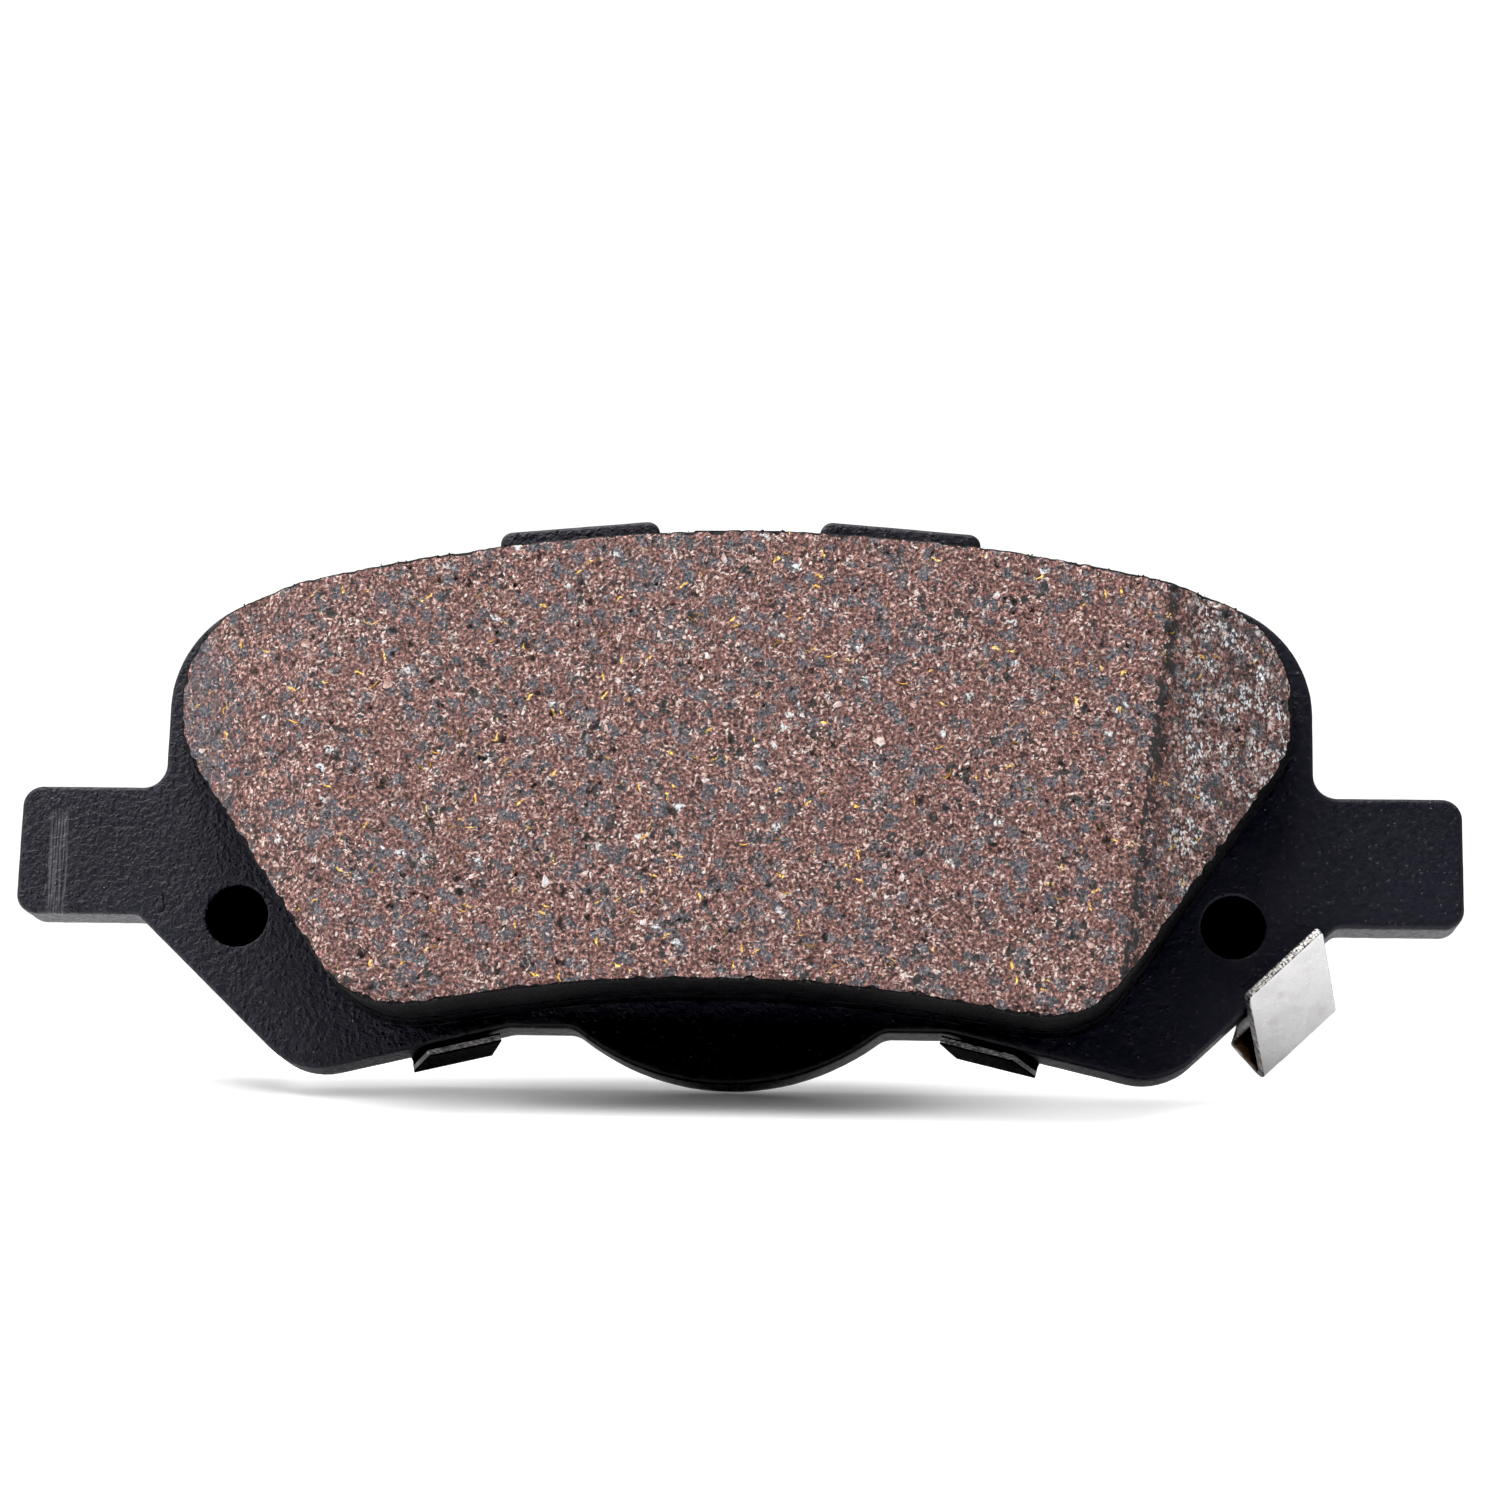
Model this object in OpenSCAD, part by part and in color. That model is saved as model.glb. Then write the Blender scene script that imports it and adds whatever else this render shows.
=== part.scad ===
// Disc brake pad for a single-piston sliding caliper, with a folded wear indicator.
//
// Frame: X runs along the pad, Y points from the disc towards the piston, Z points
// away from the wheel's centre. The origin is where the piston's axis meets the
// outer face of the shim, so the friction face looks towards -Y.

/* [Backing plate] */
// Overall length over the two ears
plate_length = 125.5; // [124:0.5:128]
// Length of the plate above the ears
body_length = 100.2; // [99:0.2:101]
// Thickness of the steel plate
plate_t = 5; // [4.5:0.5:6]
// Height of the plate's top edge above the piston's axis
top_z = 27.2; // [27:0.1:27.6]
// Radius of the plate's two upper corners
corner_r = 10.2; // [9.8:0.1:10.6]
// Height of an ear
ear_h = 11.4; // [11:0.1:11.8]
// Height of the ears' lower edge
ear_bottom_z = -7; // [-7.2:0.1:-6.8]
// Radius of the rounded ends of the ears
ear_r = 1.75; // [1:0.25:2.5]
// Radius of the lower edge under the piston
piston_r = 21.2; // [20.8:0.1:21.6]
// Height of the flats on both sides of the piston
notch_z = -16.5; // [-16.8:0.1:-16.2]
// Height of the lugs on the top edge
lug_h = 2; // [1:0.5:3]

/* [Half-pierced bosses] */
// Distance of each boss from the middle of the pad
boss_x = 43.1; // [42.8:0.1:43.4]
// Radius of the blind hole in front of each boss
hole_r = 2.7; // [2.6:0.05:2.8]
// Depth of the blind hole
hole_depth = 4; // [3:0.5:4]
// Radius of the boss
boss_r = 2.6; // [2.5:0.05:2.65]
// Height of the free boss behind the plate
boss_h = 2.4; // [1.8:0.2:3]

/* [Friction block] */
// Bare margin of the plate around the friction block
margin = 2.1; // [1.9:0.1:2.5]
// Thickness of the friction block above its underlayer
friction_t = 8.3; // [6:0.1:9]
// Thickness of the underlayer
underlayer_t = 2; // [1.5:0.1:2.5]
// Thickness of the bonding film between plate and underlayer
bond_t = 0.2; // [0.2:0.1:0.3]
// Depth of the chamfer at each end of the block
chamfer_depth = 5.5; // [2:0.5:6]
// Length of the chamfer, measured along the pad
chamfer_length = 11; // [9:0.5:13]

/* [Shim] */
// Thickness of the shim's steel core
core_t = 0.45; // [0.4:0.05:0.5]
// Thickness of the rubber on each side of the core
rubber_t = 0.15; // [0.1:0.05:0.2]
// Thickness of the adhesive behind the shim
glue_t = 0.15; // [0.1:0.05:0.2]
// Half length of the shim
shim_half = 34.5; // [33:0.5:35]
// Length of the clips that fold over the plate's edge
clip_length = 4.8; // [4:0.2:5.2]

/* [Wear indicator] */
// Width of the indicator strip
strip_w = 8.6; // [8:0.1:9]
// Thickness of the indicator strip
strip_t = 0.75; // [0.6:0.05:0.8]
// Height of the indicator's tip in front of the plate
tip_height = 2.5; // [2:0.1:3]

/* [Hidden] */
$fn = 64;

// Places along Y, from the piston towards the disc
outer_rubber_y = -rubber_t;
core_y = outer_rubber_y - core_t;
inner_rubber_y = core_y - rubber_t;
plate_back_y = inner_rubber_y - glue_t;
plate_front_y = plate_back_y - plate_t;
bond_y = plate_front_y - bond_t;
underlayer_y = bond_y - underlayer_t;
face_y = underlayer_y - friction_t;

// Plate outline
side_x = body_length / 2;
corner_z = 11.7;
corner = [side_x - corner_r, corner_z];
ear_x = plate_length / 2;
ear_top_z = ear_bottom_z + ear_h;
notch_r = 2;
notch_end_r = 3;
ear_root_r = 1;
shoulder_r = 2;
// Straight parts of the lower edge, each given by its angle and one point on it
diagonal_angle = 43.2;
diagonal_point = [44, -14.43];
slope_angle = -13.2;
slope_point = [20.4, -16.85];
lobe_r = 6;
top_r = arc_through(top_z, corner, corner_r);
lug_x = [7.1, 21.3];
lug_corner_r = 1.1;
// How far a lug reaches down into the plate
lug_root = 3;
// How far one solid runs into another, or a cutter runs out of it
overlap = 1;

// Friction outline
friction_side_x = side_x - margin;
friction_top_z = top_z - margin;
friction_corner_r = corner_r - margin;
friction_bottom_z = -13.75;
friction_bottom_r = 118;
friction_lower_r = 8;
friction_foot_x = 30.7;
friction_foot_overlap = 3;
friction_cut_angle = 55.5;
friction_cut_point = [34, -12.8];
// Share of its height above and below taper_z that the left half loses towards its end
taper = 0.035;
taper_z = 2;
// Length of a tangent that only gives a rounded corner its direction
run_length = 20;
// How far bond film and underlayer stand out around the friction block
underlayer_grow = 0.3;
chamfer_start_x = 35.9;
chamfer_tilt = 6.9;
chamfer_mid_z = 10;

// Shim outline
shim_inset = 1.8;
shim_corner_r = 4;

// Clips of the shim, folded round the plate's edge
clip_fold_r = 0.35;
clip_root_h = 3.5;
lower_clip_x = 23.9;
// How far to the left the pair of lower clips sits
clip_play = 0.65;
lower_clip_w = [8.8, 7, 6.4];
lower_clip_shift = -1.8;
lower_clip_gap = 0.55;
lower_clip_rise = 3;
top_clip_w = [11, 9, 8];
top_clip_gap = 0.12;

// Wear indicator, along the diagonal edge and square to it
strip_hole_r = boss_r + 0.05;
strip_eye_r = strip_w / 2 + 0.2;
crease_r = strip_t / 2 + 0.03;
head_r = 3.5;
head_h = 0.9;
head_y = plate_back_y + strip_t + head_h;
neck_shift = -0.5;
fold_shift = -2;
tip_shift = 0.6;
fold_out = 0.85;
bend_out = 5.1;
bend_back = 0.8;
tip_in = 0.8;

// Radius of a top arc centred on the pad that meets a corner arc smoothly
function arc_through(top, c, r) =
    (r * r - c.x * c.x - (c.y - top) * (c.y - top)) / (2 * (c.y - top) + 2 * r);

function unit(v) = v / norm(v);
function direction(angle) = [cos(angle), sin(angle)];
function cross2(a, b) = a.x * b.y - a.y * b.x;

// Point where the line through p at angle a meets the line through q at angle b
function meet(p, a, q, b) =
    p + direction(a) * cross2(q - p, direction(b)) / cross2(direction(a), direction(b));

function arc(c, r, from, to, n = 12) =
    [for (i = [0:n]) c + r * direction(from + (to - from) * i / n)];

// Arc of radius r that rounds the corner b between the points a and c
function rounded(a, b, c, r, n = 8) =
    let (u = unit(a - b), v = unit(c - b),
         half = acos(u * v) / 2,
         centre = b + unit(u + v) * r / sin(half),
         start = b + u * r / tan(half) - centre,
         from = atan2(start.y, start.x),
         sweep = (180 - 2 * half) * (cross2(u, v) > 0 ? -1 : 1))
    arc(centre, r, from, from + sweep, n);

// A closed outline from its right half, whose first and last points are on the middle line
function both_sides(half) =
    concat(half, [for (i = [len(half) - 2:-1:1]) [-half[i].x, half[i].y]]);

// Right half of the plate's outline, from the bottom of the piston arc upwards
function plate_half() =
    let (blend = [sqrt(pow(piston_r + notch_r, 2) - pow(notch_r - notch_z, 2)), notch_z - notch_r],
         blend_angle = atan2(blend.y, blend.x),
         notch_end = meet([0, notch_z], 0, slope_point, slope_angle),
         lobe = meet(slope_point, slope_angle, diagonal_point, diagonal_angle),
         ear_root = meet([0, ear_bottom_z], 0, diagonal_point, diagonal_angle),
         ear_low = [ear_x, ear_bottom_z],
         ear_high = [ear_x, ear_top_z],
         shoulder = [side_x, ear_top_z],
         top_centre = [0, top_z - top_r],
         top_angle = atan2(corner.y - top_centre.y, corner.x))
    concat(
        arc([0, 0], piston_r, -90, blend_angle),
        arc(blend, notch_r, blend_angle + 180, 90, 6),
        rounded([blend.x, notch_z], notch_end, lobe, notch_end_r, 3),
        rounded(notch_end, lobe, ear_root, lobe_r),
        rounded(lobe, ear_root, ear_low, ear_root_r, 4),
        rounded(ear_root, ear_low, ear_high, ear_r),
        rounded(ear_low, ear_high, shoulder, ear_r),
        rounded(ear_high, shoulder, corner + [corner_r, 0], shoulder_r),
        arc(corner, corner_r, 0, top_angle, 16),
        arc(top_centre, top_r, top_angle, 90));

// Right half of the friction outline, grown outwards by a little
function friction_half(grow) =
    let (bottom_centre = [0, friction_bottom_z - friction_bottom_r],
         bottom_r = friction_bottom_r - grow,
         cut = friction_cut_point + grow * direction(friction_cut_angle - 90),
         foot_angle = acos((friction_foot_x + grow) / bottom_r),
         foot = meet(bottom_centre + bottom_r * direction(foot_angle), foot_angle - 90,
                     cut, friction_cut_angle),
         waist = meet([friction_side_x + grow, 0], 90, cut, friction_cut_angle),
         run_in = foot + run_length * direction(foot_angle + 90),
         upper_r = friction_corner_r + grow,
         upper_top_z = friction_top_z + grow,
         arc_r = arc_through(upper_top_z, corner, upper_r),
         top_centre = [0, upper_top_z - arc_r],
         top_angle = atan2(corner.y - top_centre.y, corner.x))
    concat(
        arc(bottom_centre, bottom_r, 90, foot_angle + friction_foot_overlap, 8),
        rounded(run_in, foot, waist, friction_lower_r),
        rounded(foot, waist, [waist.x, corner.y], friction_lower_r, 6),
        arc(corner, upper_r, 0, top_angle, 16),
        arc(top_centre, arc_r, top_angle, 90));

// The friction outline, whose left half is a little lower towards its end
function friction_points(grow) =
    let (half = friction_half(grow))
    concat(half, [for (i = [len(half) - 2:-1:1]) let (p = half[i])
        [-p.x, taper_z + (p.y - taper_z) * (1 - taper * p.x / friction_side_x)]]);

// A flat shape drawn along X and Z, between two places along Y
module slab(from, to) {
    translate([0, to, 0]) rotate([90, 0, 0]) linear_extrude(to - from) children();
}

module both_ends() {
    children();
    mirror([1, 0, 0]) children();
}

// One of the lugs on the plate's top edge
module lug() {
    lug_z = [for (x = lug_x) top_z - top_r + sqrt(pow(top_r + lug_h, 2) - x * x)];
    foot = lug_h + lug_root;
    inner_low = [lug_x[0], lug_z[0] - foot];
    inner_high = [lug_x[0], lug_z[0]];
    outer_high = [lug_x[1], lug_z[1]];
    outer_low = [lug_x[1], lug_z[1] - foot];
    polygon(concat(
        [outer_low],
        rounded(outer_low, outer_high, inner_high, lug_corner_r),
        rounded(outer_high, inner_high, inner_low, lug_corner_r),
        [inner_low]));
}

// Cylinder along Y between two places
module rod(x, z, r, from, to) {
    translate([x, to, z]) rotate([90, 0, 0]) cylinder(h = to - from, r = r);
}

module backing_plate() {
    color("#1b1b1f") difference() {
        union() {
            slab(plate_front_y, plate_back_y) {
                polygon(both_sides(plate_half()));
                both_ends() lug();
            }
            rod(-boss_x, ear_bottom_z, boss_r, plate_back_y - overlap, plate_back_y + boss_h);
            rod(boss_x, ear_bottom_z, boss_r, plate_back_y - overlap, head_y);
            rod(boss_x, ear_bottom_z, head_r, plate_back_y + strip_t, head_y);
        }
        both_ends()
            rod(boss_x, ear_bottom_z, hole_r, plate_front_y - overlap, plate_front_y + hole_depth);
    }
}

module bond_film() {
    color("#3a3a38") slab(bond_y, plate_front_y) polygon(friction_points(underlayer_grow));
}

module underlayer() {
    color("#242326") slab(underlayer_y, bond_y) polygon(friction_points(underlayer_grow));
}

module friction_block() {
    color("#7a554d") difference() {
        slab(face_y, underlayer_y) polygon(friction_points(0));
        both_ends() end_chamfer();
    }
}

// Wedge taken off the end of the friction block, starting a little in front of its face
module end_chamfer() {
    slope = chamfer_depth / chamfer_length;
    reach = 2 * chamfer_length;
    translate([chamfer_start_x, face_y, chamfer_mid_z]) rotate([0, chamfer_tilt, 0])
        linear_extrude(body_length, center = true)
            polygon([[-overlap / slope, -overlap], [reach, -overlap], [reach, reach * slope]]);
}

// Right half of the shim's outline on the plate's back, without its clips
function shim_half_outline() =
    let (cover_r = piston_r - shim_inset,
         low_z = notch_z + shim_inset,
         centre = [0, top_z - top_r],
         arc_r = top_r - shim_inset,
         shoulder_angle = acos(shim_half / arc_r),
         shoulder = centre + arc_r * direction(shoulder_angle),
         run_out = shoulder + run_length * direction(shoulder_angle + 90),
         foot = [shim_half, low_z])
    concat(
        arc([0, 0], cover_r, -90, asin(low_z / cover_r)),
        rounded([0, low_z], foot, shoulder, shim_corner_r),
        rounded(foot, shoulder, run_out, shim_corner_r),
        arc(centre, arc_r, acos((shim_half - shim_corner_r) / arc_r), 90));

function shim_points() = both_sides(shim_half_outline());

// One layer of the shim with its clips, between two distances from the plate's back
module shim_layer(near, far) {
    slab(plate_back_y + near, plate_back_y + far) polygon(shim_points());
    for (left = [0, 1]) {
        x = lower_clip_x + (left == 1 ? clip_play : -clip_play);
        z = slope_point.y + (x - slope_point.x) * tan(slope_angle);
        mirror([left, 0, 0]) translate([x, 0, z]) rotate([0, -slope_angle, 0])
            clip(near - glue_t, far - glue_t, lower_clip_w, lower_clip_gap,
                 lower_clip_shift, lower_clip_rise);
    }
    translate([0, 0, top_z]) rotate([0, 180, 0])
        clip(near - glue_t, far - glue_t, top_clip_w, top_clip_gap);
}

// A clip that runs down past an edge of the plate at z = 0 and folds forwards under it.
// widths are those of its root, fold and tip, and gap is how far it stays off the edge.
// shift moves the tip along the edge, and rise is the angle that it is folded past a right one.
module clip(near, far, widths, gap, shift = 0, rise = 0) {
    half = widths / 2;
    near_r = clip_fold_r + near;
    far_r = clip_fold_r + far;
    translate([0, plate_back_y + glue_t - clip_fold_r, clip_fold_r - gap]) {
        slab(near_r, far_r) polygon([
            [-half[1], 0],
            [half[1], 0],
            [half[0], clip_root_h],
            [-half[0], clip_root_h]
        ]);
        rotate([-90, 0, 90]) rotate_extrude(angle = 90 + rise)
            translate([near_r, -half[1]]) square([far - near, widths[1]]);
        rotate([-rise, 0, 0]) translate([0, 0, -far_r]) linear_extrude(far - near)
            polygon([
                [-half[1], 0],
                [half[1], 0],
                [half[2] + shift, -clip_length],
                [-half[2] + shift, -clip_length]
            ]);
    }
}

module shim_adhesive() {
    color("#c9b98a") slab(plate_back_y, plate_back_y + glue_t) polygon(shim_points());
}

module shim_inner_rubber() {
    color("#151517") shim_layer(glue_t, glue_t + rubber_t);
}

module shim_steel_core() {
    color("#b9babd") shim_layer(glue_t + rubber_t, glue_t + rubber_t + core_t);
}

module shim_outer_rubber() {
    color("#151517") shim_layer(glue_t + rubber_t + core_t, glue_t + 2 * rubber_t + core_t);
}

// Straight panel of the strip between two stations [along, back, in]
module panel(a, b) {
    run = [b[1] - a[1], b[2] - a[2]];
    length = norm(run);
    half = strip_w / 2;
    translate([0, a[1], a[2]]) rotate([atan2(run.y, run.x), 0, 0]) translate([0, 0, -strip_t / 2])
        linear_extrude(strip_t)
            polygon([[a.x - half, 0], [a.x + half, 0], [b.x + half, length], [b.x - half, length]]);
}

module wear_indicator() {
    edge_distance = cross2(direction(diagonal_angle), [boss_x, ear_bottom_z] - diagonal_point);
    mid_y = plate_back_y + strip_t / 2;
    boss = [0, mid_y, 0];
    neck = [neck_shift, mid_y, -edge_distance];
    crease = [fold_shift, mid_y, -edge_distance - fold_out];
    bend = [fold_shift, mid_y + bend_back, -edge_distance - bend_out];
    tip = [tip_shift, plate_front_y - tip_height, -edge_distance + tip_in];
    stations = [boss, neck, crease, bend, tip];
    color("#c8c5c2") translate([boss_x, 0, ear_bottom_z]) rotate([0, -diagonal_angle, 0]) difference() {
        union() {
            rod(0, 0, strip_eye_r, plate_back_y, plate_back_y + strip_t);
            for (i = [0:3]) panel(stations[i], stations[i + 1]);
            for (s = [crease, bend])
                translate(s) rotate([0, 90, 0]) cylinder(h = strip_w, r = crease_r, center = true);
        }
        rod(0, 0, strip_hole_r, mid_y - overlap, mid_y + overlap);
    }
}

backing_plate();
bond_film();
underlayer();
friction_block();
shim_adhesive();
shim_inner_rubber();
shim_steel_core();
shim_outer_rubber();
wear_indicator();
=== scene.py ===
"""Studio scene of a disc brake pad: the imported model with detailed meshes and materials.

Lengths are written in millimetres and turned into metres by MM. The frame is the
model's own: X along the pad, -Y out of the friction face, Z away from the wheel's centre.
"""
import math

import bmesh
import bpy
import numpy as np
from mathutils import Matrix, Vector
from mathutils.geometry import delaunay_2d_cdt
from mathutils.kdtree import KDTree


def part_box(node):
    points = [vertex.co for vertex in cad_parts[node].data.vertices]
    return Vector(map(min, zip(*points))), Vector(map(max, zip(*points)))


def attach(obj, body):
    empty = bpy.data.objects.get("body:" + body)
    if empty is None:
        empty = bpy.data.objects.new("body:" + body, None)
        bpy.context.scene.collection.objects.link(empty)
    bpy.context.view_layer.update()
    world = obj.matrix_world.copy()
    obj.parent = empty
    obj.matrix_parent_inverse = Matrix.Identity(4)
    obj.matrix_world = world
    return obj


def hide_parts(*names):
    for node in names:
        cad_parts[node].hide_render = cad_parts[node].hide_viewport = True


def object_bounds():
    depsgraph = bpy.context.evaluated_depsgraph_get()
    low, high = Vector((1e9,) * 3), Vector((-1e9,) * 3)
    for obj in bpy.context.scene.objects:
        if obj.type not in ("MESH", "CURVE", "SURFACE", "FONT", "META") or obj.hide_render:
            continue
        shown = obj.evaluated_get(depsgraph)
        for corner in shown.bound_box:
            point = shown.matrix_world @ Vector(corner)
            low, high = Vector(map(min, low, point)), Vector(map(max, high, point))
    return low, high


MM = 0.001

# Marks on the plate's coat, and the painted shade on its bump below the block. Pairs are where something
# starts and where it ends
BUMP_Z = (-16.5, -13)
BUMP_HALF = (20, 32)
NICK_CENTRE = (-50.6, 0, -6.0)
NICK_R = 1.2
SCUFF_X = (-60.0, -58.1)
SCUFF_Z = (-6.6, 2.2)
# The orange peel gets flatter from the left to the right
PEEL_FADE = (-45, 25)
# Depths (Y) over which looks change: marks on the plate's front alone, worn paint below the
# face, resin at the underlayer's front, painted shade on the shim's clips, and bright bare metal
# at their tips, partly a painted highlight
FRONT_ONLY = (-5.4, -5.0)
WEAR_FADE = (-16.3, -14.8)
FLASH_FADE = (-6.9, -6.3)
CLIP_FADE = (-1.6, -0.6)
CLIP_TIP_FADE = (-4.6, -4.2)

# Spacing of the points on the friction face and on the plate, and rings down the block's wall
FACE_STEP = 0.25
PLATE_STEP = 0.4
WALL_RINGS = 14
# Sides of round holes and bosses
ROUND = 56
# Deepest the friction face's ordinary grain goes, so that nothing stands out of the CAD shape
FACE_SKIN = 0.06
# Pits in the friction face, for each square millimetre round it
PITS = 0.42
# The plate: rounding of its front edge, depth of its blind holes, radius of the bosses behind them
EDGE_R = 0.4
HOLE_DEPTH = 4
BOSS_R = 2.6
# Rounding of the shim's edges
SHIM_ROUND = 0.04
# Steps of the arc at a fold of the strip
BEND_TURNS = 12

# The wear indicator's strip and the peened head that holds it
STRIP_T = 0.75
STRIP_W = 8.6
HEAD_R = 3.5
HEAD_H = 0.9
EYE_R = STRIP_W / 2 + 0.2
EYE_HOLE_R = 2.65
BOSS = Vector((43.1, -0.525, -7))
# The plate's edge that the strip folds round: its slope, and how far it is from the boss
EDGE_ANGLE = math.radians(43.2)
EDGE_DISTANCE = 6.03
# Turn of the strip's scratches and of the grooves in its cut edge, in degrees about Y
STRIP_TURN = -47
# For each fold: how far in from the boss, how far back, its shift along the edge, its bend radius
FOLDS = [
    (0.0, 0.0, 0.0, 0.0),
    (EDGE_DISTANCE, 0.0, -0.5, 0.0),
    (EDGE_DISTANCE + 0.85, 0.0, -2.0, 1.2),
    (EDGE_DISTANCE + 5.1, 0.8, -2.0, 0.55),
    (EDGE_DISTANCE - 0.8, -7.875, 0.6, 0.0),
]

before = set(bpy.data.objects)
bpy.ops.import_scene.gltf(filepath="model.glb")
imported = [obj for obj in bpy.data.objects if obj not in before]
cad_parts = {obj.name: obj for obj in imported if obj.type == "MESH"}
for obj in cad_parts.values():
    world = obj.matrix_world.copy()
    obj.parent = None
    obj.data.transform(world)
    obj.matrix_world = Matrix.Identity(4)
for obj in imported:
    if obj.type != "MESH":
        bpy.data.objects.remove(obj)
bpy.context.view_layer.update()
rng = np.random.default_rng(7)


def linked(name, data):
    """A new object with that data, put in the scene."""
    made = bpy.data.objects.new(name, data)
    bpy.context.scene.collection.objects.link(made)
    return made


# ---------------------------- camera

LENS = 85.1
CAMERA_DISTANCE = 309.3 * MM
CAMERA_TURN = math.radians(-3.84)
CAMERA_RISE = math.radians(12.8)
CAMERA_ROLL = math.radians(1.35)


def add_camera():
    """Looks slightly up at the plate's front, from a little to the right of the middle."""
    target = Vector((1.36 * MM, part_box("backing_plate")[0].y, 8.17 * MM))
    view = Vector((
        math.sin(CAMERA_TURN) * math.cos(CAMERA_RISE),
        math.cos(CAMERA_TURN) * math.cos(CAMERA_RISE),
        math.sin(CAMERA_RISE),
    ))
    data = bpy.data.cameras.new("camera")
    data.lens = LENS
    data.sensor_width = 36
    data.clip_start = 0.01
    data.clip_end = 10
    camera = linked("camera", data)
    camera.rotation_mode = "QUATERNION"
    level = view.to_track_quat("-Z", "Y")
    camera.rotation_quaternion = level @ Matrix.Rotation(CAMERA_ROLL, 3, "Z").to_quaternion()
    camera.location = target - view * CAMERA_DISTANCE
    bpy.context.scene.camera = camera


# ---------------------------- node materials

class Nodes:
    """The node tree of a material or world."""

    def __init__(self, owner):
        owner.use_nodes = True
        self.tree = owner.node_tree

    def node(self, kind, inputs, **settings):
        """A new node with those settings, and those values or sockets on its inputs."""
        made = self.tree.nodes.new(kind)
        for name, value in settings.items():
            setattr(made, name, value)
        for name, value in inputs.items():
            self.feed(made.inputs[name], value)
        return made

    def feed(self, socket, value):
        if isinstance(value, bpy.types.NodeSocket):
            self.tree.links.new(value, socket)
        else:
            socket.default_value = value


class Shader(Nodes):
    """A material's nodes, added by short calls that return the socket they make."""

    def __init__(self, name):
        self.material = bpy.data.materials.new(name)
        super().__init__(self.material)
        self.principled = self.tree.nodes["Principled BSDF"]
        place = self.node("ShaderNodeTexCoord", {}).outputs["Object"]
        self.place = self.vector("SCALE", place, 1 / MM)

    def vector(self, operation, a, b):
        """A vector sum; b is the factor where the operation is SCALE."""
        inputs = {0: a, 3 if operation == "SCALE" else 1: b}
        return self.node("ShaderNodeVectorMath", inputs, operation=operation).outputs["Vector"]

    def math(self, operation, *values):
        inputs = dict(enumerate(values))
        return self.node("ShaderNodeMath", inputs, operation=operation).outputs[0]

    def plus(self, a, b):
        return self.math("ADD", a, b)

    def times(self, product, *factors):
        for factor in factors:
            product = self.math("MULTIPLY", product, factor)
        return product

    def most(self, greatest, *others):
        for value in others:
            greatest = self.math("MAXIMUM", greatest, value)
        return greatest

    def size(self, value):
        """The value without its sign."""
        return self.math("ABSOLUTE", value)

    def stretched(self, scale, turn=0.0, place=None):
        """The place in millimetres, turned about Y by some degrees and then scaled."""
        inputs = {"Vector": place or self.place, "Rotation": (0, math.radians(turn), 0),
                  "Scale": [1 / s for s in scale]}
        return self.node("ShaderNodeMapping", inputs, vector_type="TEXTURE").outputs["Vector"]

    def noise(self, scale, detail=2.0, roughness=0.5, place=None, colour=False):
        inputs = {"Vector": place or self.place, "Scale": scale, "Detail": detail,
                  "Roughness": roughness}
        return self.node("ShaderNodeTexNoise", inputs).outputs["Color" if colour else "Fac"]

    def wobbled(self, scale, amount, place=None):
        """The place moved about by noise, by up to half the amount in each direction."""
        shift = self.vector("SUBTRACT", self.noise(scale, place=place, colour=True), (0.5, 0.5, 0.5))
        return self.vector("ADD", place or self.place, self.vector("SCALE", shift, amount))

    def cells(self, scale, place=None):
        """A Voronoi node: Distance from the cell's point, Color random for each cell."""
        inputs = {"Vector": place or self.place, "Scale": scale}
        return self.node("ShaderNodeTexVoronoi", inputs).outputs

    def attribute(self, name):
        return self.node("ShaderNodeAttribute", {}, attribute_name=name).outputs["Fac"]

    def tinted_grains(self, scale, stretch, turn, share, place=None, reach=(0.3, 0.55)):
        """A mask of long grains in a share of the cells, and a random number for each grain."""
        cell = self.cells(scale, self.stretched((1, 1, stretch), turn, place))
        lot, tint, _ = self.node("ShaderNodeSeparateColor", {0: cell["Color"]}).outputs
        chosen = self.math("LESS_THAN", lot, share)
        return self.times(chosen, self.step(cell["Distance"], *reach, 1, 0)), tint

    def grains(self, *shape, **settings):
        """Only the mask of tinted_grains."""
        return self.tinted_grains(*shape, **settings)[0]

    def axis(self, index, place=None):
        return self.node("ShaderNodeSeparateXYZ", {0: place or self.place}).outputs[index]

    def step(self, value, low, high, to_low=0.0, to_high=1.0):
        """A smooth step from to_low at low to to_high at high."""
        inputs = {"Value": value, "From Min": low, "From Max": high, "To Min": to_low,
                  "To Max": to_high}
        made = self.node("ShaderNodeMapRange", inputs, interpolation_type="SMOOTHSTEP")
        return made.outputs["Result"]

    def mix(self, factor, a, b):
        a, b = (c if isinstance(c, bpy.types.NodeSocket) else (*c, 1) for c in (a, b))
        inputs = {"Factor": factor, "A": a, "B": b}
        return self.node("ShaderNodeMix", inputs, data_type="RGBA").outputs["Result"]

    def ramp(self, value, *stops):
        """Colours by value: stops are (position, colour)."""
        made = self.node("ShaderNodeValToRGB", {0: value})
        for place, _ in stops[1:-1]:
            made.color_ramp.elements.new(place)
        for element, (place, colour) in zip(made.color_ramp.elements, stops):
            element.position = place
            element.color = (*colour, 1)
        return made.outputs[0]

    def tones(self, value, dark, light, low=0.3, high=0.7):
        """Colours from the dark one at low to the light one at high."""
        return self.ramp(value, (low, dark), (high, light))

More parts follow.
